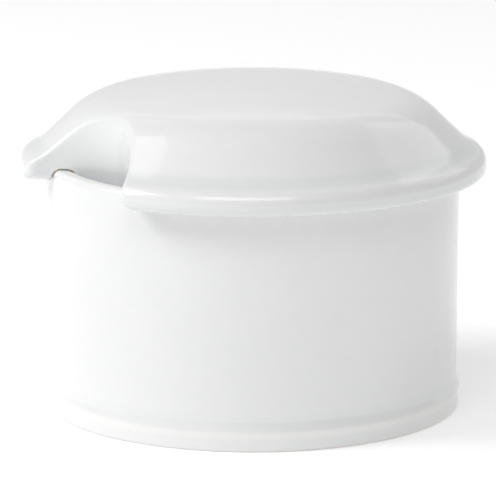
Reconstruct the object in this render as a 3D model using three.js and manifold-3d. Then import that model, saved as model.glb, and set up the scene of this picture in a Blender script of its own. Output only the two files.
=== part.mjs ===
// A round porcelain sugar bowl with a lift-off domed lid that has a notch for the spoon.
// Units are millimetres and +Z is up. The notch faces -Y.

import * as THREE from 'three';
import { mergeVertices } from 'three/addons/utils/BufferGeometryUtils.js';
import Module from 'manifold-3d';

const wasm = await Module();
wasm.setup();

// Bowl: heights are above the table, radii are from the bowl's axis.
const RIM_HEIGHT = 54.5;
const RIM_RADIUS = 45;
const WAIST_RADIUS = 44.8;
const BAND_RADIUS = 45.3;
const BAND_HEIGHT = 4;
const BAND_STEP = 2.8;
const FOOT_ROUND = 0.9;
const FOOT_INNER_RADIUS = 37.5;
const RECESS_DEPTH = 1.8;
const RECESS_SLOPE = 1.6;
const RIM_OUTER_ROUND = 1.3;
const RIM_INNER_ROUND = 1;
const CAVITY_RADIUS = 41.3;
const CAVITY_CORNER = 8;
const FLOOR_HEIGHT = 4.4;

// Lid: heights are above the bowl's rim.
const CROWN_HEIGHT = 17.5;
const CROWN_CURVE = 160;
const CROWN_SLOPE = 11.5;
const SHOULDER_CURVE = 17;
const FLANK_SLOPE = 44;
const FLANK_END_RADIUS = 45.6;
const FLARE_CURVE = 13;
const FLARE_SLOPE = 28;
const LIP_RADIUS = 50.8;
const LIP_TOP_ROUND = 3;
const LIP_BOTTOM = -2.8;
const LIP_BOTTOM_ROUND = 0.9;
const LIP_INNER_RADIUS = 45.6;
const LIP_INNER_ROUND = 1;
const SEAT_GAP = 0.3;
const SEAT_ROUND = 1.5;
const FLANGE_RADIUS = 40.7;
const FLANGE_BOTTOM = -4.5;
const FLANGE_ROUND = 1.2;
const FLANGE_WALL = 3.4;
const DOME_WALL = 3.8;

// Spoon notch: an upright round cut through the lid's lip, with a wall of its own inside the dome.
const NOTCH_DISTANCE = 54.8;
const NOTCH_RADIUS = 18.3;
const NOTCH_WALL = 3.5;
const NOTCH_CORNER_LENGTH = 5.5;
const NOTCH_CORNER_HEIGHT = 3.2;

// Facets
const LATHE_SEGMENTS = 60;
const NOTCH_SEGMENTS = 56;

const porcelain = { color: 0xf3f3f1, roughness: 0.14, metalness: 0 };

const toRadians = THREE.MathUtils.degToRad;

// Draws a lathe profile as a moving pen. Heading 0 leads away from the axis, 90 down, 180 in, 270 up.
class ProfilePen {
  constructor(radius, height) {
    this.points = [new THREE.Vector2(radius, height)];
    this.heading = 0;
  }

  get tip() {
    return this.points[this.points.length - 1];
  }

  lineTo(radius, height) {
    this.points.push(new THREE.Vector2(radius, height));
    return this;
  }

  // Runs straight along the heading until the given radius.
  runToRadius(radius) {
    const { x, y } = this.tip;
    return this.lineTo(radius, y - (radius - x) * Math.tan(toRadians(this.heading)));
  }

  // Turns smoothly to a new heading on an arc of the given radius.
  bend(arcRadius, heading, steps) {
    const start = this.tip;
    const from = toRadians(this.heading);
    const to = toRadians(heading);
    const side = Math.sign(to - from);
    for (let step = 1; step <= steps; step += 1) {
      const angle = THREE.MathUtils.lerp(from, to, step / steps);
      const out = side * arcRadius * (Math.sin(angle) - Math.sin(from));
      const up = side * arcRadius * (Math.cos(angle) - Math.cos(from));
      this.lineTo(start.x + out, start.y + up);
    }
    this.heading = heading;
    return this;
  }
}

// Turns a profile about the Z axis. The profile runs from the axis, around the outside, back to the axis.
function turned(points, segments = LATHE_SEGMENTS) {
  const geometry = new THREE.LatheGeometry([...points].reverse(), segments);
  return geometry.rotateX(Math.PI / 2);
}

function toSolid(geometry) {
  const plain = geometry.clone();
  plain.deleteAttribute('normal');
  plain.deleteAttribute('uv');
  const merged = mergeVertices(plain);
  const mesh = new wasm.Mesh({
    numProp: 3,
    vertProperties: new Float32Array(merged.attributes.position.array),
    triVerts: new Uint32Array(merged.index.array),
  });
  return new wasm.Manifold(mesh);
}

function toGeometry(solid) {
  const mesh = solid.getMesh();
  const geometry = new THREE.BufferGeometry();
  geometry.setAttribute('position', new THREE.BufferAttribute(mesh.vertProperties, 3));
  geometry.setIndex(new THREE.BufferAttribute(mesh.triVerts, 1));
  geometry.computeVertexNormals();
  return geometry;
}

function namedMesh(name, solid) {
  const mesh = new THREE.Mesh(toGeometry(solid), new THREE.MeshStandardMaterial(porcelain));
  mesh.name = name;
  return mesh;
}

// The bowl's profile goes from the floor inside, over the rim and down the wall, to the recess below.
function bowlSolid() {
  const pen = new ProfilePen(0, FLOOR_HEIGHT);
  pen.lineTo(CAVITY_RADIUS - CAVITY_CORNER, FLOOR_HEIGHT);
  pen.bend(CAVITY_CORNER, -90, 8);
  pen.lineTo(CAVITY_RADIUS, RIM_HEIGHT - RIM_INNER_ROUND);
  pen.bend(RIM_INNER_ROUND, 0, 4);
  pen.lineTo(RIM_RADIUS - RIM_OUTER_ROUND, RIM_HEIGHT);
  pen.bend(RIM_OUTER_ROUND, 90, 5);

  // The wall narrows very slightly from the rim down to the step above the foot band.
  const wallTop = RIM_HEIGHT - RIM_OUTER_ROUND;
  const wallBottom = BAND_HEIGHT + BAND_STEP;
  const wallSteps = 5;
  for (let step = 1; step <= wallSteps; step += 1) {
    const down = step / wallSteps;
    const radius = WAIST_RADIUS + (RIM_RADIUS - WAIST_RADIUS) * (1 - down) ** 2;
    pen.lineTo(radius, THREE.MathUtils.lerp(wallTop, wallBottom, down));
  }

  // The step is half a cosine wave, out to the band.
  const stepSteps = 6;
  for (let step = 1; step <= stepSteps; step += 1) {
    const down = step / stepSteps;
    const out = (1 - Math.cos(Math.PI * down)) / 2;
    const radius = THREE.MathUtils.lerp(WAIST_RADIUS, BAND_RADIUS, out);
    pen.lineTo(radius, wallBottom - BAND_STEP * down);
  }

  pen.lineTo(BAND_RADIUS, FOOT_ROUND);
  pen.bend(FOOT_ROUND, 180, 5);
  pen.lineTo(FOOT_INNER_RADIUS, 0);
  pen.lineTo(FOOT_INNER_RADIUS - RECESS_SLOPE, RECESS_DEPTH);
  pen.lineTo(0, RECESS_DEPTH);
  return toSolid(turned(pen.points));
}

// The lid's outside as a solid block: dome, flared lip, seat and the flange that drops into the bowl.
function lidBlock() {
  const pen = new ProfilePen(0, CROWN_HEIGHT);
  pen.bend(CROWN_CURVE, CROWN_SLOPE, 5);
  pen.bend(SHOULDER_CURVE, FLANK_SLOPE, 6);
  pen.runToRadius(FLANK_END_RADIUS);
  pen.bend(FLARE_CURVE, FLARE_SLOPE, 3);
  const lipRoundReach = LIP_TOP_ROUND * (1 - Math.sin(toRadians(FLARE_SLOPE)));
  pen.runToRadius(LIP_RADIUS - lipRoundReach);
  pen.bend(LIP_TOP_ROUND, 90, 5);
  pen.lineTo(LIP_RADIUS, LIP_BOTTOM + LIP_BOTTOM_ROUND);
  pen.bend(LIP_BOTTOM_ROUND, 180, 4);
  pen.lineTo(LIP_INNER_RADIUS + LIP_INNER_ROUND, LIP_BOTTOM);
  pen.bend(LIP_INNER_ROUND, 270, 3);
  pen.lineTo(LIP_INNER_RADIUS, SEAT_GAP - SEAT_ROUND);
  pen.bend(SEAT_ROUND, 180, 3);
  pen.lineTo(FLANGE_RADIUS + FLANGE_ROUND, SEAT_GAP);
  pen.bend(FLANGE_ROUND, 90, 3);
  pen.lineTo(FLANGE_RADIUS, FLANGE_BOTTOM + FLANGE_ROUND);
  pen.bend(FLANGE_ROUND, 180, 3);
  pen.lineTo(0, FLANGE_BOTTOM);
  return toSolid(turned(pen.points));
}

// The space under the dome: a shallow ceiling that bends down into the flange's inner wall.
function lidHollow() {
  const crownReach = CROWN_CURVE * Math.sin(toRadians(CROWN_SLOPE));
  const ceilingReach = crownReach - DOME_WALL * Math.sin(toRadians(CROWN_SLOPE));
  const flangeInner = FLANGE_RADIUS - FLANGE_WALL;
  const cornerCurve = (flangeInner - ceilingReach) / (1 - Math.sin(toRadians(CROWN_SLOPE)));
  const below = FLANGE_BOTTOM - 1;
  const pen = new ProfilePen(0, CROWN_HEIGHT - DOME_WALL);
  pen.bend(CROWN_CURVE - DOME_WALL, CROWN_SLOPE, 4);
  pen.bend(cornerCurve, 90, 7);
  pen.lineTo(flangeInner, below);
  pen.lineTo(0, below);
  return toSolid(turned(pen.points));
}

// An upright round bar on the notch's axis, tall enough to pass through the whole lid.
function notchBar(radius) {
  const bottom = FLANGE_BOTTOM - 2;
  const top = CROWN_HEIGHT + 2;
  const geometry = new THREE.CylinderGeometry(radius, radius, top - bottom, NOTCH_SEGMENTS);
  geometry.rotateX(Math.PI / 2);
  geometry.translate(0, -NOTCH_DISTANCE, (top + bottom) / 2);
  return toSolid(geometry);
}

// The two lower corners that the notch leaves on the lip are rounded off by a bell-shaped cut.
function notchCorners() {
  const bellTop = LIP_BOTTOM + NOTCH_CORNER_HEIGHT;
  const pen = new ProfilePen(0, bellTop);
  const steps = 7;
  for (let step = 0; step <= steps; step += 1) {
    const angle = (Math.PI / 2) * (step / steps);
    const radius = NOTCH_RADIUS + NOTCH_CORNER_LENGTH * (1 - Math.cos(angle));
    pen.lineTo(radius, bellTop - NOTCH_CORNER_HEIGHT * Math.sin(angle));
  }
  const below = LIP_BOTTOM - 1;
  pen.lineTo(NOTCH_RADIUS + NOTCH_CORNER_LENGTH, below);
  pen.lineTo(0, below);
  const bell = turned(pen.points, NOTCH_SEGMENTS);
  bell.translate(0, -NOTCH_DISTANCE, 0);

  // Only the lip is cut: the seat and the flange inside it keep their shape.
  const outside = LIP_RADIUS + 5;
  const ring = new ProfilePen(LIP_INNER_RADIUS, bellTop + 1);
  ring.lineTo(outside, bellTop + 1);
  ring.lineTo(outside, below - 1);
  ring.lineTo(LIP_INNER_RADIUS, below - 1);
  ring.lineTo(LIP_INNER_RADIUS, bellTop + 1);
  return toSolid(bell).intersect(toSolid(turned(ring.points)));
}

function lidSolid() {
  const shell = lidBlock().subtract(notchBar(NOTCH_RADIUS)).subtract(notchCorners());
  const hollow = lidHollow().subtract(notchBar(NOTCH_RADIUS + NOTCH_WALL));
  return shell.subtract(hollow);
}

const bowl = namedMesh('bowl', bowlSolid());
const lid = namedMesh('lid', lidSolid());
lid.position.z = RIM_HEIGHT;

const group = new THREE.Group();
group.add(bowl, lid);

// The notch shortens the lip on one side, so the origin goes to the middle of the whole footprint.
const footprint = new THREE.Box3().setFromObject(group, true);
group.position.y = -(footprint.min.y + footprint.max.y) / 2;

export default group;
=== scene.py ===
"""A porcelain sugar bowl with a notched, lift-off lid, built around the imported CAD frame."""

import math
from collections import namedtuple

import bmesh
import bpy
import numpy as np
from mathutils import Matrix, Vector


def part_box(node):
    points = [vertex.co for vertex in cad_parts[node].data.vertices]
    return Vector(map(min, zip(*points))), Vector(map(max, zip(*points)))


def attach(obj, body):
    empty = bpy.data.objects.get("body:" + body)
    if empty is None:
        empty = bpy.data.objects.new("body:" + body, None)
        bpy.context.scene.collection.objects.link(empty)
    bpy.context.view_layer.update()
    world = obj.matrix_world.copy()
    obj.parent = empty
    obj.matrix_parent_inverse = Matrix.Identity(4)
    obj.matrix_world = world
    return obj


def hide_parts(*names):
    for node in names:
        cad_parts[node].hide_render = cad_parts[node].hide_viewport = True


bl_info = {
    "name": "Porcelain sugar bowl",
    "version": (1, 0, 0),
    "blender": (4, 5, 0),
    "location": "View3D > Sidebar > Sugar bowl",
    "description": "Builds a glazed sugar bowl, its notched lid and a plain studio around them",
    "category": "Add Mesh",
}

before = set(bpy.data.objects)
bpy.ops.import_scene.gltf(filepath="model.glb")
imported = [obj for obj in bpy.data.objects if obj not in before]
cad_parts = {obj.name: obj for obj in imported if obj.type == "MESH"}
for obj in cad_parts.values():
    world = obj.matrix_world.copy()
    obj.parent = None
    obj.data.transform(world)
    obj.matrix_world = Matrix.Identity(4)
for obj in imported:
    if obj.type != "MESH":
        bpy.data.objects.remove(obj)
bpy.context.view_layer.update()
BOWL_LOW, BOWL_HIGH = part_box("bowl")
LID_LOW, LID_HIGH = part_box("lid")
RIM_HEIGHT = BOWL_HIGH.z
BAND_RADIUS = (BOWL_HIGH.x - BOWL_LOW.x) / 2
LIP_RADIUS = (LID_HIGH.x - LID_LOW.x) / 2
AXIS = Vector(((BOWL_LOW.x + BOWL_HIGH.x) / 2, (BOWL_LOW.y + BOWL_HIGH.y) / 2, 0))

# How finely the profiles are drawn.
LINE_STEP = 0.0015
ARC_STEP = math.radians(9)
WALL_STEPS = 39
BAND_STEPS = 19

# How the lid's faces are evened out, and the step that its slopes are measured with.
EVENING_ROUNDS = 12
SLOPE_STEP = 2e-6

# Sizes of the stage in metres.
FLOOR_WIDTH = 8.0
FLOOR_FRONT = 3.0
FLOOR_BACK = 2.5
FLOOR_CURVE = 1.2
FLOOR_STEPS = 16
WALL_HEIGHT = 3.0
SOFTBOX_DISTANCE = 1.2

# Each light: name, degrees round from the camera, degrees above the table, width and height.
SOFTBOXES = (
    ("key", -80, 40, (0.6, 0.5)),
    ("high", -107, 54, (0.34, 0.34)),
    ("top", -5, 52, (0.8, 0.5)),
    ("fill", 125, 36, (0.8, 0.6)),
    ("back", 180, 34, (1.4, 0.06)),
)

# Scales of the patterns in the porcelain, in features a metre.
DRIFT_SCALE = 28.0
WAVE_SCALE = 55.0
GLOSS_SCALE = 70.0
SPECK_SCALE = 260.0
MOTTLE_SCALE = 420.0
GRAIN_SCALE = 2600.0


# ---------------------------------------------------------------- settings


def length(name, description, default):
    """A length in metres, shown in the scene's unit."""
    return bpy.props.FloatProperty(
        name=name, description=description, default=default, unit="LENGTH", precision=5
    )


def angle(name, description, degrees):
    """An angle, stored in radians and shown in degrees."""
    return bpy.props.FloatProperty(
        name=name, description=description, default=math.radians(degrees), subtype="ANGLE"
    )


def colour(name, description, default):
    """A colour with three channels."""
    return bpy.props.FloatVectorProperty(
        name=name, description=description, default=default, subtype="COLOR", size=3, min=0, max=1
    )


def share(name, description, default):
    """A plain number between 0 and 1."""
    return bpy.props.FloatProperty(
        name=name, description=description, default=default, subtype="FACTOR", min=0, max=1
    )


def power(name, description, default):
    """The power of a light in watts, or the strength of the world."""
    return bpy.props.FloatProperty(name=name, description=description, default=default, min=0)


class BowlSizes(bpy.types.PropertyGroup):
    """Sizes of the bowl that the frame's boxes don't give."""

    rim_radius: length("Rim radius", "Outer radius at the rim", 0.045)
    waist_radius: length("Waist radius", "Outer radius just above the foot band", 0.0448)
    band_height: length("Band height", "Height of the straight part of the foot band", 0.004)
    band_step: length("Band step", "Height of the soft step above the foot band", 0.0028)
    foot_round: length("Foot round", "Radius of the foot band's lower edge", 0.0009)
    foot_inner: length("Foot ring", "Inner radius of the ring that the bowl stands on", 0.0375)
    recess_depth: length("Recess", "Depth of the recess inside the foot ring", 0.0018)
    rim_outer_round: length("Rim outer round", "Radius of the rim's outer edge", 0.0013)
    rim_inner_round: length("Rim inner round", "Radius of the rim's inner edge", 0.001)
    cavity_radius: length("Cavity radius", "Inner radius of the wall", 0.0413)
    cavity_corner: length("Cavity corner", "Radius between floor and wall", 0.008)
    floor_height: length("Floor height", "Height of the floor inside", 0.0044)
    segments: bpy.props.IntProperty(
        name="Segments", description="Faces round the bowl", default=256, min=24
    )


class LidSizes(bpy.types.PropertyGroup):
    """Sizes of the lid that the frame's boxes don't give; heights are above the rim."""

    crown_curve: length("Crown curve", "Radius of the shallow crown", 0.16)
    crown_slope: angle("Crown slope", "Slope where the crown meets the shoulder", 11.5)
    shoulder_curve: length("Shoulder curve", "Radius of the shoulder", 0.017)
    flank_slope: angle("Flank slope", "Slope of the straight flank", 44)
    flank_end: length("Flank end", "Radius where the flank starts to flare", 0.0456)
    flare_curve: length("Flare curve", "Radius of the flare", 0.013)
    flare_slope: angle("Flare slope", "Slope where the flare meets the lip", 28)
    lip_top_round: length("Lip top round", "Radius of the lip's upper edge", 0.003)
    lip_bottom_round: length("Lip bottom round", "Radius of the lip's lower edge", 0.0015)
    lip_bottom: length("Lip bottom", "Height of the lip's underside", -0.0028)
    lip_inner: length("Lip inner radius", "Radius of the lip's inner side", 0.04515)
    lip_inner_round: length("Lip inner round", "Radius of the lip's inner edge", 0.001)
    seat_gap: length("Seat gap", "Gap between the seat and the bowl's rim", 0.00007)
    seat_round: length("Seat round", "Radius between lip and seat", 0.0014)
    flange_radius: length("Flange radius", "Outer radius of the flange", 0.041)
    flange_round: length("Flange round", "Radii of the flange's root and edge", 0.0012)
    flange_wall: length("Flange wall", "Thickness of the flange", 0.0034)
    dome_wall: length("Dome wall", "Thickness of the crown", 0.0038)
    mesh_step: length("Mesh step", "Size of the faces", 0.0006)


class NotchSizes(bpy.types.PropertyGroup):
    """Sizes of the spoon notch."""

    distance: length("Distance", "From the lid's axis to the notch's axis", 0.0548)
    radius: length("Radius", "Radius of the notch", 0.0183)
    wall: length("Wall", "Thickness of the notch's wall under the dome", 0.0035)
    edge_round: length("Edge round", "Radius of the notch's upper edge", 0.0012)
    seat_edge: length("Seat edge", "Radius of the notch's edge along the seat", 0.00005)
    lip_end_round: length("Lip end round", "Radius of the lip's two ends, seen from above", 0.0022)
    lip_end_drop: length("Lip end drop", "Radius of the lip's two ends, seen from the side", 0.003)
    inner_round: length("Inner round", "Radius of the notch wall's root under the dome", 0.002)


class PorcelainLook(bpy.types.PropertyGroup):
    """Colours and finish of the porcelain."""

    glaze: colour("Glaze", "Colour of the glazed porcelain", (0.81, 0.812, 0.808))
    thin_glaze: colour("Thin glaze", "Colour where the glaze is thin", (0.85, 0.846, 0.832))
    # The pooled glaze colour is also used as painted shade in creases, under the lid's lip and down
    # the notch's wall.
    pooled_glaze_and_shade: colour("Pooled glaze", "Colour where the glaze gathers", (0.74, 0.755, 0.76))
    bare_body: colour("Bare body", "Colour of the unglazed porcelain", (0.78, 0.765, 0.735))
    speck: colour("Speck", "Colour of the tiny specks in the glaze", (0.42, 0.38, 0.33))
    gloss: share("Gloss roughness", "Roughness of the glaze", 0.13)
    bare_roughness: share("Bare roughness", "Roughness of the unglazed porcelain", 0.75)


class StudioSettings(bpy.types.PropertyGroup):
    """Camera and light."""

    azimuth: angle("Azimuth", "Camera angle round the bowl, from the notch", 53.8)
    elevation: angle("Elevation", "Camera angle above the table", 12.4)
    distance: length("Distance", "From the camera to its target", 1.0)
    target_height: length("Target height", "Height that the camera looks at", 0.0342)
    target_left: length("Target left", "How far left of the axis the camera looks", 0.0011)
    lens: bpy.props.FloatProperty(
        name="Lens", description="Focal length in millimetres", default=331.0, min=1
    )
    floor: colour("Floor", "Colour of the floor and backdrop", (0.96, 0.96, 0.96))
    floor_glow: share("Floor glow", "Light that comes through the floor and backdrop", 0.2)
    key_power: power("Key", "Power of the large light on the left", 7.0)
    high_power: power("High", "Power of the small light high on the left", 0.45)
    top_power: power("Top", "Power of the light above the front", 3.3)
    fill_power: power("Fill", "Power of the light on the right", 1.1)
    back_power: power("Back", "Power of the long light behind", 0.12)
    air_light: power("Air", "Strength of the even light from all sides", 0.39)


# ---------------------------------------------------------------- profiles


class ProfilePen:
    """Draws half of a turned shape's outline with lines and arcs that join smoothly.

    Heading 0 leads away from the axis, a right angle down. The solid lies to the pen's right.
    """

    def __init__(self, radius, height):
        self.place = np.array((radius, height), float)
        self.heading = 0.0
        self.runs = []

    @staticmethod
    def outward(heading):
        return np.array((math.sin(heading), math.cos(heading)))

    def line_to(self, radius, height, heading=None):
        """Draws a line; the pen's new heading is worked out from it unless one is given."""
        end = np.array((radius, height), float)
        step = end - self.place
        self.runs.append(("line", self.place, end))
        self.heading = math.atan2(-step[1], step[0]) if heading is None else heading
        self.place = end

    def run_to_radius(self, radius):
        """Draws on in the pen's heading until it reaches a radius."""
        drop = (radius - self.place[0]) * math.tan(self.heading)
        self.line_to(radius, self.place[1] - drop)

    def bend(self, arc_radius, heading):
        """Draws an arc that turns the pen to a new heading."""
        side = math.copysign(1, heading - self.heading)
        centre = self.place - side * arc_radius * self.outward(self.heading)
        self.runs.append(("arc", centre, arc_radius, side, self.heading, heading))
        self.place = centre + side * arc_radius * self.outward(heading)
        self.heading = heading

    def points(self):
        """Points along the outline, in small steps."""
        made = []
        for kind, *run in self.runs:
            if kind == "line":
                start, end = run
                count = max(1, math.ceil(np.linalg.norm(end - start) / LINE_STEP))
                shares = np.linspace(0, 1, count + 1)[:, None]
                stretch = start + (end - start) * shares
            else:
                centre, arc_radius, side, first, last = run
                count = max(2, math.ceil(abs(last - first) / ARC_STEP))
                turns = np.linspace(first, last, count + 1)
                spokes = np.column_stack((np.sin(turns), np.cos(turns)))
                stretch = centre + side * arc_radius * spokes
            made.extend(stretch if not made else stretch[1:])
        return np.array(made)

    def distance(self, radius, height):
        """Signed distance to the outline, negative inside the solid."""
        best = np.full(radius.shape, np.inf)
        measures = {"line": self._to_line, "arc": self._to_arc}
        for kind, *run in self.runs:
            found = measures[kind](radius, height, *run)
            best = np.where(np.abs(found) < np.abs(best), found, best)
        return best

    @staticmethod
    def _to_line(radius, height, start, end):
        span = end - start
        size = np.linalg.norm(span)
        along = ((radius - start[0]) * span[0] + (height - start[1]) * span[1]) / size
        across = ((height - start[1]) * span[0] - (radius - start[0]) * span[1]) / size
        beyond = along - np.clip(along, 0, size)
        return np.copysign(np.hypot(across, beyond), across)

    @staticmethod
    def _to_arc(radius, height, centre, arc_radius, side, first, last):
        out, up = radius - centre[0], height - centre[1]
        turn = np.arctan2(side * out, side * up)
        middle = (first + last) / 2
        off = np.abs((turn - middle + math.pi) % (2 * math.pi) - math.pi)
        found = side * (np.hypot(out, up) - arc_radius)
        return np.where(off <= abs(last - first) / 2 + 1e-6, found, np.inf)


def bowl_profile(sizes):
    """From the floor inside, over the rim and down the wall, to the recess under the bowl."""
    up, out, down, back = -math.pi / 2, 0, math.pi / 2, math.pi
    pen = ProfilePen(0, sizes.floor_height)
    pen.line_to(sizes.cavity_radius - sizes.cavity_corner, sizes.floor_height)
    pen.bend(sizes.cavity_corner, up)
    pen.line_to(sizes.cavity_radius, RIM_HEIGHT - sizes.rim_inner_round, up)
    pen.bend(sizes.rim_inner_round, out)
    pen.line_to(sizes.rim_radius - sizes.rim_outer_round, RIM_HEIGHT)
    pen.bend(sizes.rim_outer_round, down)
    wall_top = RIM_HEIGHT - sizes.rim_outer_round
    wall_bottom = sizes.band_height + sizes.band_step
    for share_down in np.linspace(0, 1, WALL_STEPS + 1)[1:]:
        flare = (sizes.rim_radius - sizes.waist_radius) * (1 - share_down) ** 2
        pen.line_to(sizes.waist_radius + flare, wall_top + (wall_bottom - wall_top) * share_down)
    for share_down in np.linspace(0, 1, BAND_STEPS + 1)[1:]:
        bulge = (1 - math.cos(math.pi * share_down)) / 2
        radius = sizes.waist_radius + (BAND_RADIUS - sizes.waist_radius) * bulge
        pen.line_to(radius, wall_bottom - sizes.band_step * share_down)
    pen.line_to(BAND_RADIUS, sizes.foot_round)
    pen.bend(sizes.foot_round, back)
    small_round = sizes.recess_depth / 3
    recess_slope = math.pi / 3
    pen.line_to(sizes.foot_inner + small_round, 0, back)
    pen.bend(small_round, back + recess_slope)
    rise = sizes.recess_depth - 2 * small_round * (1 - math.cos(recess_slope))
    inner = pen.place[0] - rise / math.tan(recess_slope)
    pen.line_to(inner, pen.place[1] + rise, back + recess_slope)
    pen.bend(small_round, back)
    pen.line_to(0, sizes.recess_depth)
    return pen


def lid_block_profile(sizes):
    """The lid's outside, over the crown and round the lip, seat and flange, above the rim."""
    down, back, up = math.pi / 2, math.pi, 3 * math.pi / 2
    pen = ProfilePen(0, LID_HIGH.z - RIM_HEIGHT)
    pen.bend(sizes.crown_curve, sizes.crown_slope)
    pen.bend(sizes.shoulder_curve, sizes.flank_slope)
    pen.run_to_radius(sizes.flank_end)
    pen.bend(sizes.flare_curve, sizes.flare_slope)
    pen.run_to_radius(LIP_RADIUS - sizes.lip_top_round * (1 - math.sin(sizes.flare_slope)))
    pen.bend(sizes.lip_top_round, down)
    pen.line_to(LIP_RADIUS, sizes.lip_bottom + sizes.lip_bottom_round)
    pen.bend(sizes.lip_bottom_round, back)
    pen.line_to(sizes.lip_inner + sizes.lip_inner_round, sizes.lip_bottom, back)
    pen.bend(sizes.lip_inner_round, up)
    pen.line_to(sizes.lip_inner, sizes.seat_gap - sizes.seat_round, up)
    pen.bend(sizes.seat_round, back)
    pen.line_to(sizes.flange_radius + sizes.flange_round, sizes.seat_gap, back)
    pen.bend(sizes.flange_round, down)
    flange_bottom = LID_LOW.z - RIM_HEIGHT
    pen.line_to(sizes.flange_radius, flange_bottom + sizes.flange_round)
    pen.bend(sizes.flange_round, back)
    pen.line_to(0, flange_bottom)
    return pen


def lid_hollow_profile(sizes):
    """The space under the dome, in heights above the rim."""
    reach = (sizes.crown_curve - sizes.dome_wall) * math.sin(sizes.crown_slope)
    flange_inner = sizes.flange_radius - sizes.flange_wall
    corner = (flange_inner - reach) / (1 - math.sin(sizes.crown_slope))
    pen = ProfilePen(0, LID_HIGH.z - RIM_HEIGHT - sizes.dome_wall)
    pen.bend(sizes.crown_curve - sizes.dome_wall, sizes.crown_slope)
    pen.bend(corner, math.pi / 2)
    pen.line_to(flange_inner, LID_LOW.z - RIM_HEIGHT - flange_inner)
    return pen


# ---------------------------------------------------------------- bowl mesh


class TreeBuilder:
    """Adds nodes to a geometry tree with their settings and sockets in one call."""

    def __init__(self, name):
        self.tree = bpy.data.node_groups.new(name, "GeometryNodeTree")

    def socket(self, name, kind, direction="INPUT"):
        self.tree.interface.new_socket(name=name, in_out=direction, socket_type=kind)

    def node(self, kind, settings=None, **sockets):
        """Adds a node; a socket is named, or numbered as _0, _1 and so on."""
        made = self.tree.nodes.new(kind)
        for name, value in (settings or {}).items():
            setattr(made, name, value)
        for name, value in sockets.items():
            key = int(name[1:]) if name[0] == "_" else name.replace("_", " ")
            target = made.inputs[key]
            if isinstance(value, bpy.types.NodeSocket):
                self.tree.links.new(value, target)
            else:
                target.default_value = value
        return made

    def maths(self, operation, first, second=0.0):
        made = self.node("ShaderNodeMath", {"operation": operation}, _0=first, _1=second)
        return made.outputs[0]


def lathe_tree():
    """A node tree that turns a profile mesh, drawn in the XZ plane, about an upright axis."""
    build = TreeBuilder("turn_on_the_axis")
    build.socket("Profile", "NodeSocketGeometry")
    build.socket("Segments", "NodeSocketInt")
    build.socket("Axis", "NodeSocketVector")
    build.socket("Finish", "NodeSocketMaterial")
    build.socket("Turned", "NodeSocketGeometry", "OUTPUT")
    given = build.node("NodeGroupInput").outputs
    profile = given["Profile"]

    size = build.node("GeometryNodeAttributeDomainSize", {"component": "MESH"}, _0=profile)
    count = size.outputs["Point Count"]
    around = build.maths("ADD", given["Segments"], 1)
    grid = build.node(
        "GeometryNodeMeshGrid", Size_X=1, Size_Y=1, Vertices_X=count, Vertices_Y=around
    ).outputs["Mesh"]
    place = build.node("GeometryNodeInputPosition").outputs[0]
    across = build.node("ShaderNodeSeparateXYZ", _0=place).outputs
    last = build.maths("SUBTRACT", count, 1)
    along = build.maths("MULTIPLY", build.maths("ADD", across["X"], 0.5), last)
    sample = build.node(
        "GeometryNodeSampleIndex",
        {"data_type": "FLOAT_VECTOR", "domain": "POINT"},
        Geometry=profile,
        Value=place,
        Index=build.maths("ROUND", along),
    ).outputs[0]
    outline = build.node("ShaderNodeSeparateXYZ", _0=sample).outputs
    turn = build.maths("MULTIPLY", build.maths("ADD", across["Y"], 0.5), 2 * math.pi)
    sideways = build.maths("MULTIPLY", outline["X"], build.maths("COSINE", turn))
    deep = build.maths("MULTIPLY", outline["X"], build.maths("SINE", turn))
    turned = build.node("ShaderNodeCombineXYZ", _0=sideways, _1=deep, _2=outline["Z"]).outputs[0]
    add = {"operation": "ADD"}
    moved = build.node("ShaderNodeVectorMath", add, _0=turned, _1=given["Axis"]).outputs[0]
    shape = grid
    for kind, inputs in (
        ("GeometryNodeSetPosition", {"Position": moved}),
        ("GeometryNodeMergeByDistance", {"Distance": 1e-6}),
        ("GeometryNodeSetShadeSmooth", {"Shade_Smooth": True}),
        ("GeometryNodeRealizeInstances", {}),
        ("GeometryNodeSetMaterial", {"Material": given["Finish"]}),
    ):
        shape = build.node(kind, Geometry=shape, **inputs).outputs[0]
    build.node("NodeGroupOutput", Turned=shape)
    return build.tree


def turned_mesh(name, points, segments, finish):
    """A closed mesh made by turning the points about the bowl's axis, through the lathe tree."""
    profile = bpy.data.meshes.new(name + "_profile")
    corners = [(x, 0, z) for x, z in points]
    edges = [(i, i + 1) for i in range(len(corners) - 1)]
    profile.from_pydata(corners, edges, [])
    lathe = bpy.data.objects.new(name + "_lathe", profile)
    bpy.context.scene.collection.objects.link(lathe)
    modifier = lathe.modifiers.new("turn", "NODES")
    modifier.node_group = lathe_tree()
    sockets = {item.name: item.identifier for item in modifier.node_group.interface.items_tree}
    modifier[sockets["Segments"]] = segments
    modifier[sockets["Axis"]] = AXIS
    modifier[sockets["Finish"]] = finish
    graph = bpy.context.evaluated_depsgraph_get()
    mesh = bpy.data.meshes.new_from_object(lathe.evaluated_get(graph), depsgraph=graph)
    lathe.modifiers.clear()
    bpy.data.objects.remove(lathe)
    face_outwards(mesh)
    mesh.name = name
    return mesh


def face_outwards(mesh):
    """Recalculates a closed mesh's normals so that they point out."""
    work = bmesh.new()
    work.from_mesh(mesh)
    bmesh.ops.recalc_face_normals(work, faces=work.faces)
    work.to_mesh(mesh)
    work.free()


# ---------------------------------------------------------------- lid mesh


def smooth_step(low, high, value):
    """0 below low, 1 above high and a soft ramp between them."""
    share_up = np.clip((value - low) / (high - low), 0, 1)
    return share_up * share_up * (3 - 2 * share_up)


def rounded_both(first, second, radius):
    """Signed distance to what two solids share, with the edge between them rounded."""
    inside = np.minimum(-radius, np.maximum(first, second))
    return inside + np.hypot(np.maximum(first + radius, 0), np.maximum(second + radius, 0))


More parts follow.
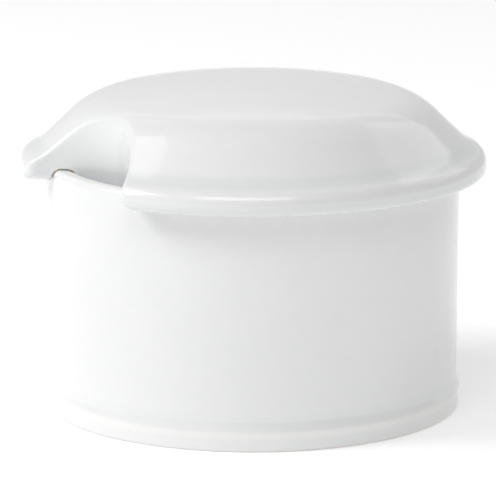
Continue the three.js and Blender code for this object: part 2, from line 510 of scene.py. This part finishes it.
class LidShape:
    """The lid's solid as a signed distance, about its axis and above the rim."""

    # Heights above the rim and radii where one rounding of the notch's edge becomes another.
    LIP_HEIGHTS = (0, 0.0036)
    LIP_RADII = (0.0465, 0.05)
    SEAT_HEIGHTS = (0.0008, 0.0028)
    BEFORE_LIP, INTO_LIP = 0.0006, 0.0012
    # The part of the lip end's lower rounding that is kept, so that its slope stays finite.
    END_SHARE = 0.96

    def __init__(self, lid, notch):
        self.lid, self.notch = lid, notch
        self.block = lid_block_profile(lid)
        self.hollow = lid_hollow_profile(lid)

    def edge_round(self, radius, height, inner_share):
        """The notch's rounding: narrow on the dome, nearly sharp at the seat, full on the lip."""
        notch = self.notch
        lip_share = 1 - smooth_step(*self.LIP_HEIGHTS, height)
        lip_share = lip_share * smooth_step(*self.LIP_RADII, radius)
        size = notch.edge_round * (1 - lip_share) + notch.lip_end_round * lip_share
        seat_share = inner_share * (1 - smooth_step(*self.SEAT_HEIGHTS, height))
        return size * (1 - seat_share) + notch.seat_edge * seat_share

    def end_fall(self, height):
        """How far the lip's two ends fall back from the notch towards their lower corners."""
        drop = self.notch.lip_end_drop
        lowness = np.clip((self.lid.lip_bottom + drop - height) / drop, 0, self.END_SHARE)
        return drop * (1 - np.sqrt(1 - lowness * lowness))

    def distance(self, places):
        """Signed distance from the surface, negative inside the solid."""
        lid, notch = self.lid, self.notch
        x, y, z = places.T
        radius = np.hypot(x, y)
        from_notch = np.hypot(x, y + notch.distance)
        lip_inner = lid.lip_inner
        outside = smooth_step(lip_inner - self.BEFORE_LIP, lip_inner + self.INTO_LIP, radius)

        cut = notch.radius + self.end_fall(z) * outside - from_notch
        edge_round = self.edge_round(radius, z, 1 - outside)
        outer = rounded_both(self.block.distance(radius, z), cut, edge_round)
        behind_wall = notch.radius + notch.wall - from_notch
        inner = rounded_both(self.hollow.distance(radius, z), behind_wall, notch.inner_round)
        return rounded_both(outer, -inner, lid.flange_round)

    def slope(self, places, values):
        """The distance's gradient, from small steps along each axis."""
        shifts = np.eye(3) * SLOPE_STEP
        changes = [self.distance(places + shift) - values for shift in shifts]
        return np.column_stack(changes) / SLOPE_STEP

    def onto_surface(self, places, limit):
        """Moves places onto the solid's surface, by at most limit a step."""
        for _ in range(3):
            values = self.distance(places)
            slope = self.slope(places, values)
            move = slope * (values / np.maximum((slope**2).sum(1), 1e-6))[:, None]
            size = np.linalg.norm(move, axis=1, keepdims=True)
            places = places - move * np.minimum(1, limit / np.maximum(size, 1e-12))
        return places


def surface_net(shape, low, high, step):
    """Places and four-sided faces on a shape's surface, one place in each grid cell it crosses."""
    axes = [np.arange(a, b + step, step) for a, b in zip(low, high)]
    grid = np.stack(np.meshgrid(*axes, indexing="ij"), -1)
    values = np.concatenate([shape.distance(layer.reshape(-1, 3)) for layer in grid])
    solid = (values < 0).reshape(grid.shape[:3])
    corners = [
        solid[i : i - 1 or None, j : j - 1 or None, k : k - 1 or None]
        for i in (0, 1)
        for j in (0, 1)
        for k in (0, 1)
    ]
    crossed = np.any(corners, 0) & ~np.all(corners, 0)
    number = np.full(crossed.shape, -1)
    number[crossed] = np.arange(crossed.sum())
    places = grid[:-1, :-1, :-1][crossed] + step / 2

    faces = []
    for axis in range(3):
        one, two = (axis + 1) % 3, (axis + 2) % 3
        before = np.take(solid, range(solid.shape[axis] - 1), axis)
        after = np.take(solid, range(1, solid.shape[axis]), axis)
        where = np.argwhere(before != after)
        ring = []
        for back_one, back_two in ((1, 1), (0, 1), (0, 0), (1, 0)):
            cell = where.copy()
            cell[:, one] -= back_one
            cell[:, two] -= back_two
            ring.append(number[tuple(cell.T)])
        quads = np.column_stack(ring)
        leaves = before[tuple(where.T)]
        quads[~leaves] = quads[~leaves][:, ::-1]
        faces.append(quads)
    return places, np.concatenate(faces)


def evened(shape, places, faces, limit):
    """Evens out the faces: pulls each place to its neighbours' middle and back to the surface."""
    ends = np.concatenate([faces[:, (i, (i + 1) % 4)] for i in range(4)])
    here, there = ends.T
    count = np.bincount(here, minlength=len(places))
    for _ in range(EVENING_ROUNDS):
        middles = [np.bincount(here, weights=side[there], minlength=len(side)) for side in places.T]
        pull = np.column_stack(middles) / count[:, None] - places
        places = shape.onto_surface(places + pull / 2, limit)
    return places


def lid_mesh(name, lid, notch, finish):
    """The lid as a closed mesh whose normals come straight from its solid."""
    shape = LidShape(lid, notch)
    step = lid.mesh_step
    reach = LIP_RADIUS + step
    low = (-reach, -reach, LID_LOW.z - RIM_HEIGHT - step / 2)
    high = (reach, reach, LID_HIGH.z - RIM_HEIGHT + step)
    places, faces = surface_net(shape, low, high, step)
    places = shape.onto_surface(places, step)
    places = evened(shape, places, faces, step)
    slope = shape.slope(places, shape.distance(places))
    normals = slope / np.linalg.norm(slope, axis=1, keepdims=True)
    mesh = bpy.data.meshes.new(name)
    mesh.from_pydata(places + np.array((AXIS.x, AXIS.y, RIM_HEIGHT)), [], faces.tolist())
    mesh.polygons.foreach_set("use_smooth", np.ones(len(faces), bool))
    mesh.normals_split_custom_set_from_vertices(normals.tolist())
    mesh.materials.append(finish)
    return mesh


# ---------------------------------------------------------------- materials


class Signal:
    """A shader socket for Python arithmetic; every expression adds its Math nodes."""

    def __init__(self, shader, socket):
        self.shader, self.socket = shader, socket

    def _maths(self, operation, first, second):
        return self.shader.node("ShaderNodeMath", {"operation": operation}, {0: first, 1: second})

    def __add__(self, other):
        return self._maths("ADD", self, other)

    def __sub__(self, other):
        return self._maths("SUBTRACT", self, other)

    def __rsub__(self, other):
        return self._maths("SUBTRACT", other, self)

    def __mul__(self, other):
        return self._maths("MULTIPLY", self, other)

    def __gt__(self, other):
        return self._maths("GREATER_THAN", self, other)

    def __lt__(self, other):
        return self._maths("LESS_THAN", self, other)

    def __pow__(self, other):
        return self._maths("POWER", self, other)

    __radd__ = __add__
    __rmul__ = __mul__


Spot = namedtuple("Spot", "across deep height radius")


class Shader:
    """Builds one material's node tree."""

    def __init__(self, name):
        self.material = bpy.data.materials.new(name)
        self.material.use_nodes = True
        self.tree = self.material.node_tree
        self.tree.nodes.clear()

    def node(self, kind, settings=None, sockets=None, output=0):
        """Adds a node: settings first, then the values or links of its sockets."""
        made = self.tree.nodes.new(kind)
        for name, value in (settings or {}).items():
            setattr(made, name, value)
        for name, value in (sockets or {}).items():
            if isinstance(value, Signal):
                self.tree.links.new(value.socket, made.inputs[name])
            else:
                made.inputs[name].default_value = value
        return Signal(self, made.outputs[output]) if len(made.outputs) else None

    def ramp(self, value, low, high):
        """0 where value is below low, 1 above high, soft between."""
        settings = {"interpolation_type": "SMOOTHSTEP"}
        sockets = {0: value, 1: low, 2: high, 3: 0.0, 4: 1.0}
        return self.node("ShaderNodeMapRange", settings, sockets)

    def band(self, value, middle, half_width, softness):
        """1 near the middle value, fading to 0 on both sides."""
        rising = self.ramp(value, middle - half_width - softness, middle - half_width)
        falling = self.ramp(value, middle + half_width, middle + half_width + softness)
        return rising * (1 - falling)

    def noise(self, place, scale, detail=2.0, roughness=0.5):
        sockets = {"Vector": place, "Scale": scale, "Detail": detail, "Roughness": roughness}
        return self.node("ShaderNodeTexNoise", None, sockets, "Fac")

    def mix(self, share_of_second, first, second):
        """Mixes two colours."""
        sockets = {0: share_of_second, 6: first, 7: second}
        return self.node("ShaderNodeMix", {"data_type": "RGBA"}, sockets, 2)


def porcelain_material(name, look, bare_zone, pooled_and_shaded_zone, thin_zone):
    """Glossy glaze over white porcelain, bare and matte where the piece was set down to fire.

    Each of the three zones takes the shader and a spot about the bowl's axis and gives a mask.
    """
    shader = Shader(name)
    place = shader.node("ShaderNodeTexCoord", output="Object")
    about_axis = {0: place, 1: tuple(-AXIS)}
    centred = shader.node("ShaderNodeMapping", {"vector_type": "POINT"}, about_axis)
    across = shader.node("ShaderNodeSeparateXYZ", None, {0: centred})
    deep, height = (Signal(shader, across.socket.node.outputs[axis]) for axis in "YZ")
    spot = Spot(across, deep, height, (across * across + deep * deep) ** 0.5)
    bare, pooled_and_shaded, thin = (zone(shader, spot) for zone in (bare_zone, pooled_and_shaded_zone, thin_zone))

    # Colour: large soft drifts in the glaze, pooling with painted shade in creases and recesses,
    # thin edges and a few specks of iron.
    pooled_and_shade_colour = (*look.pooled_glaze_and_shade, 1)
    cloud = shader.ramp(shader.noise(place, DRIFT_SCALE, 3.0, 0.55), 0.3, 0.7)
    glaze = shader.mix(cloud * 0.22, (*look.glaze, 1), pooled_and_shade_colour)
    mottle = shader.ramp(shader.noise(place, MOTTLE_SCALE, 3.0, 0.6), 0.35, 0.7)
    glaze = shader.mix(mottle * 0.16, glaze, pooled_and_shade_colour)
    # The pooled zones take the darker colour: glaze that gathers, and painted shade in creases and
    # recesses.
    glaze = shader.mix(pooled_and_shaded * 0.8, glaze, pooled_and_shade_colour)
    glaze = shader.mix(thin * 0.7, glaze, (*look.thin_glaze, 1))
    cells = {"Vector": place, "Scale": SPECK_SCALE, "Randomness": 1.0}
    speck_distance = shader.node("ShaderNodeTexVoronoi", {"feature": "F1"}, cells, "Distance")
    speck_pick = shader.node("ShaderNodeTexVoronoi", {"feature": "F1"}, cells, "Color")
    speck = (speck_distance < 0.045) * (speck_pick > 0.93)
    glaze = shader.mix(speck * 0.35, glaze, (*look.speck, 1))
    grain = shader.noise(place, GRAIN_SCALE, 4.0, 0.7)
    sugary = shader.ramp(grain, 0.35, 0.75) * 0.5
    body = shader.mix(sugary, (*look.bare_body, 1), (*look.glaze, 1))
    base_colour = shader.mix(bare, glaze, body)

    # Gloss: slightly uneven on the glaze, matte where it is bare.
    unevenness = shader.noise(place, GLOSS_SCALE, 2.0, 0.5)
    gloss = look.gloss * 0.8 + unevenness * (look.gloss * 0.4)
    roughness = gloss * (1 - bare) + bare * look.bare_roughness

    # Relief: slow waves and fine ripple in the glaze, pits at the specks and grain where bare.
    waves = shader.noise(place, WAVE_SCALE, 1.0, 0.4)
    ripple = shader.noise(place, MOTTLE_SCALE, 2.0, 0.5)
    relief = (waves + ripple * 0.06 - speck * 0.05) * (1 - bare) + grain * bare * 0.35
    bump_sockets = {"Strength": 0.35, "Distance": 0.00012, "Height": relief}
    normal = shader.node("ShaderNodeBump", None, bump_sockets, "Normal")

    surface = shader.node(
        "ShaderNodeBsdfPrincipled",
        None,
        {
            "Base Color": base_colour,
            "Roughness": roughness,
            "IOR": 1.52,
            "Normal": normal,
            "Coat Weight": (1 - bare) * 0.15,
            "Coat Roughness": 0.08,
            "Coat IOR": 1.5,
        },
    )
    shader.node("ShaderNodeOutputMaterial", None, {"Surface": surface})
    return shader.material


def bowl_material(look, bowl):
    """Porcelain with a bare foot ring, thin glaze on the rim, and glaze pooled with painted shade
    in the step above the foot band and in the corner inside.
    """

    def bare(shader, spot):
        ring = shader.ramp(spot.radius, bowl.foot_inner - 0.0008, bowl.foot_inner)
        return ring * (1 - shader.ramp(spot.height, 0.0003, 0.0006))

    # Pooled glaze with painted shade: darker in the step above the foot band and in the corner
    # inside the bowl.
    def pooled_and_shaded(shader, spot):
        outside = shader.ramp(spot.radius, bowl.cavity_radius + 0.001, bowl.cavity_radius + 0.002)
        step = shader.band(spot.height, bowl.band_height + bowl.band_step, 0.0004, 0.0012) * outside
        inside = 1 - shader.ramp(spot.radius, bowl.cavity_radius - 0.001, bowl.cavity_radius)
        corner_start = bowl.cavity_radius - bowl.cavity_corner
        corner = shader.ramp(spot.radius, corner_start, bowl.cavity_radius - 0.003)
        return step * 0.3 + corner * inside * (1 - shader.ramp(spot.height, 0.008, 0.016))

    def thin(shader, spot):
        rim = shader.ramp(spot.height, RIM_HEIGHT - 0.0012, RIM_HEIGHT - 0.0003)
        return rim + shader.band(spot.height, bowl.band_height * 0.9, 0.0003, 0.0008)

    return porcelain_material("bowl_porcelain", look, bare, pooled_and_shaded, thin)


def lid_material(look, lid, notch):
    """Porcelain with a bare seat and flange edge, thin glaze on the lip, and a darker colour for
    pooled glaze with painted shade in the flare and on the lip's lower part, and for painted shade
    down the notch's wall.
    """

    def bare(shader, spot):
        seat = shader.band(spot.radius, (lid.flange_radius + lid.lip_inner) / 2, 0.002, 0.0008)
        seat = seat * (1 - shader.ramp(spot.height, RIM_HEIGHT + 0.0005, RIM_HEIGHT + 0.0008))
        edge = 1 - shader.ramp(spot.height, LID_LOW.z + 0.0002, LID_LOW.z + 0.0006)
        return seat * shader.ramp(spot.height, RIM_HEIGHT - 0.0006, RIM_HEIGHT - 0.0002) + edge

    # Pooled glaze with painted shade in the flare's crease and on the lip's lower part.
    def pooled_and_shaded(shader, spot):
        above_rim = shader.ramp(spot.height, RIM_HEIGHT + 0.001, RIM_HEIGHT + 0.002)
        flare = shader.band(spot.radius, lid.flank_end + 0.0015, 0.0006, 0.0015) * above_rim
        lip = 1 - shader.ramp(spot.height, RIM_HEIGHT - 0.0016, RIM_HEIGHT + 0.0008)
        lip = lip * shader.ramp(spot.radius, lid.lip_inner + 0.001, lid.lip_inner + 0.002)
        from_notch_deep = spot.deep + notch.distance
        from_notch = (spot.across * spot.across + from_notch_deep * from_notch_deep) ** 0.5
        # Painted shade down the notch's wall, darker towards its bottom.
        wall = 1 - shader.ramp(from_notch, notch.radius + 0.0002, notch.radius + 0.001)
        shade_towards_bottom = 1 - shader.ramp(spot.height, RIM_HEIGHT - 0.001, RIM_HEIGHT + 0.009)
        return flare + lip * (1 - wall) + wall * (0.3 + shade_towards_bottom)

    def thin(shader, spot):
        edge = shader.ramp(spot.radius, LIP_RADIUS - 0.0009, LIP_RADIUS - 0.0002)
        return edge * shader.ramp(spot.height, RIM_HEIGHT + 0.0006, RIM_HEIGHT + 0.0018)

    return porcelain_material("lid_porcelain", look, bare, pooled_and_shaded, thin)


# ---------------------------------------------------------------- operators


def add_piece(name, mesh, body, node):
    """Links a finished mesh in place, lets it ride on its body and stand for its CAD node."""
    piece = bpy.data.objects.new(name, mesh)
    bpy.context.scene.collection.objects.link(piece)
    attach(piece, body)
    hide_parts(node)


class SUGAR_OT_bowl(bpy.types.Operator):
    """Build the porcelain bowl"""

    bl_idname = "sugar.bowl"
    bl_label = "Bowl"

    def execute(self, context):
        sizes, look = context.scene.sugar_bowl, context.scene.sugar_look
        points = bowl_profile(sizes).points()
        finish = bowl_material(look, sizes)
        mesh = turned_mesh("glazed_bowl", points, sizes.segments, finish)
        add_piece("glazed_bowl", mesh, "bowl", "bowl")
        return {"FINISHED"}


class SUGAR_OT_lid(bpy.types.Operator):
    """Build the lid with its spoon notch"""

    bl_idname = "sugar.lid"
    bl_label = "Lid"

    def execute(self, context):
        scene = context.scene
        finish = lid_material(scene.sugar_look, scene.sugar_lid, scene.sugar_notch)
        mesh = lid_mesh("glazed_lid", scene.sugar_lid, scene.sugar_notch, finish)
        add_piece("glazed_lid", mesh, "lid", "lid")
        return {"FINISHED"}


def backdrop_mesh(name, azimuth, finish):
    """A floor that curves up into a wall on the side away from the camera's azimuth."""
    outline = [(-FLOOR_FRONT, 0.0), (FLOOR_BACK - FLOOR_CURVE, 0.0)]
    for turn in np.linspace(0, math.pi / 2, FLOOR_STEPS + 1)[1:]:
        depth = FLOOR_BACK - FLOOR_CURVE * (1 - math.sin(turn))
        outline.append((depth, FLOOR_CURVE * (1 - math.cos(turn))))
    outline.append((FLOOR_BACK, WALL_HEIGHT))
    turned = Matrix.Rotation(azimuth, 3, "Z")
    sides = (-FLOOR_WIDTH / 2, FLOOR_WIDTH / 2)
    corners = [turned @ Vector((side, depth, z)) for depth, z in outline for side in sides]
    faces = [(i, i + 1, i + 3, i + 2) for i in range(0, len(corners) - 2, 2)]
    mesh = bpy.data.meshes.new(name)
    mesh.from_pydata(corners, [], faces)
    mesh.polygons.foreach_set("use_smooth", np.ones(len(faces), bool))
    mesh.materials.append(finish)
    return mesh


def direction(azimuth, elevation):
    """From the target towards an azimuth and elevation."""
    flat = Vector((math.sin(azimuth), -math.cos(azimuth), 0)) * math.cos(elevation)
    return flat + Vector((0, 0, math.sin(elevation)))


def stand(name, data, place, away):
    """Adds a light or camera at a place, looking against the away direction."""
    thing = bpy.data.objects.new(name, data)
    thing.location = place
    thing.rotation_euler = away.to_track_quat("Z", "Y").to_euler()
    bpy.context.scene.collection.objects.link(thing)
    return thing


def add_softbox(name, target, away, size, watts):
    """A rectangular area light that faces the target."""
    light = bpy.data.lights.new(name, "AREA")
    light.shape = "RECTANGLE"
    light.size, light.size_y = size
    light.energy = watts
    stand(name, light, target + away * SOFTBOX_DISTANCE, away)


class SUGAR_OT_stage(bpy.types.Operator):
    """Build the floor, the lights and the camera"""

    bl_idname = "sugar.stage"
    bl_label = "Stage"

    def execute(self, context):
        scene = context.scene
        studio = scene.sugar_studio
        target = AXIS + Vector((0, 0, studio.target_height))

        shader = Shader("stage_paper")
        colours = {
            "Base Color": (*studio.floor, 1),
            "Roughness": 0.9,
            "Emission Color": (1, 1, 1, 1),
            "Emission Strength": studio.floor_glow,
        }
        paper = shader.node("ShaderNodeBsdfPrincipled", None, colours)
        shader.node("ShaderNodeOutputMaterial", None, {"Surface": paper})
        floor_mesh = backdrop_mesh("stage_floor", studio.azimuth, shader.material)
        floor = bpy.data.objects.new("stage_floor", floor_mesh)
        scene.collection.objects.link(floor)

        for name, turn, lift, size in SOFTBOXES:
            away = direction(studio.azimuth + math.radians(turn), math.radians(lift))
            add_softbox(name + "_light", target, away, size, getattr(studio, name + "_power"))

        world = bpy.data.worlds.new("studio_air")
        world.use_nodes = True
        air = world.node_tree.nodes["Background"].inputs
        air["Color"].default_value = (1, 1, 1, 1)
        air["Strength"].default_value = studio.air_light
        scene.world = world
        scene.view_settings.view_transform = "Standard"

        camera_data = bpy.data.cameras.new("studio_camera")
        camera_data.lens = studio.lens
        camera_data.sensor_width = 36
        camera_data.clip_end = 50
        away = direction(studio.azimuth, studio.elevation)
        left = direction(studio.azimuth - math.pi / 2, 0) * studio.target_left
        place = target + left + away * studio.distance
        scene.camera = stand("studio_camera", camera_data, place, away)
        return {"FINISHED"}


class SUGAR_PT_panel(bpy.types.Panel):
    """Lists the pieces and their sizes in the sidebar"""

    bl_idname = "SUGAR_PT_panel"
    bl_label = "Sugar bowl"
    bl_space_type = "VIEW_3D"
    bl_region_type = "UI"
    bl_category = "Sugar bowl"

    def draw(self, context):
        layout, scene = self.layout, context.scene
        for operator, groups in PANEL_ROWS:
            layout.operator(operator.bl_idname)
            for group_name in groups:
                box = layout.box()
                group = getattr(scene, group_name)
                for name in group.__annotations__:
                    box.prop(group, name)


SETTINGS = {
    "sugar_bowl": BowlSizes,
    "sugar_lid": LidSizes,
    "sugar_notch": NotchSizes,
    "sugar_look": PorcelainLook,
    "sugar_studio": StudioSettings,
}
OPERATORS = (SUGAR_OT_bowl, SUGAR_OT_lid, SUGAR_OT_stage)
PANEL_ROWS = (
    (SUGAR_OT_bowl, ("sugar_bowl", "sugar_look")),
    (SUGAR_OT_lid, ("sugar_lid", "sugar_notch")),
    (SUGAR_OT_stage, ("sugar_studio",)),
)
CLASSES = (*SETTINGS.values(), *OPERATORS, SUGAR_PT_panel)


def register():
    for cls in CLASSES:
        bpy.utils.register_class(cls)
    for name, group in SETTINGS.items():
        setattr(bpy.types.Scene, name, bpy.props.PointerProperty(type=group))


def unregister():
    for name in SETTINGS:
        delattr(bpy.types.Scene, name)
    for cls in reversed(CLASSES):
        bpy.utils.unregister_class(cls)


def main():
    register()
    for operator in OPERATORS:
        group, name = operator.bl_idname.split(".")
        getattr(getattr(bpy.ops, group), name)()


if __name__ == "__main__":
    main()
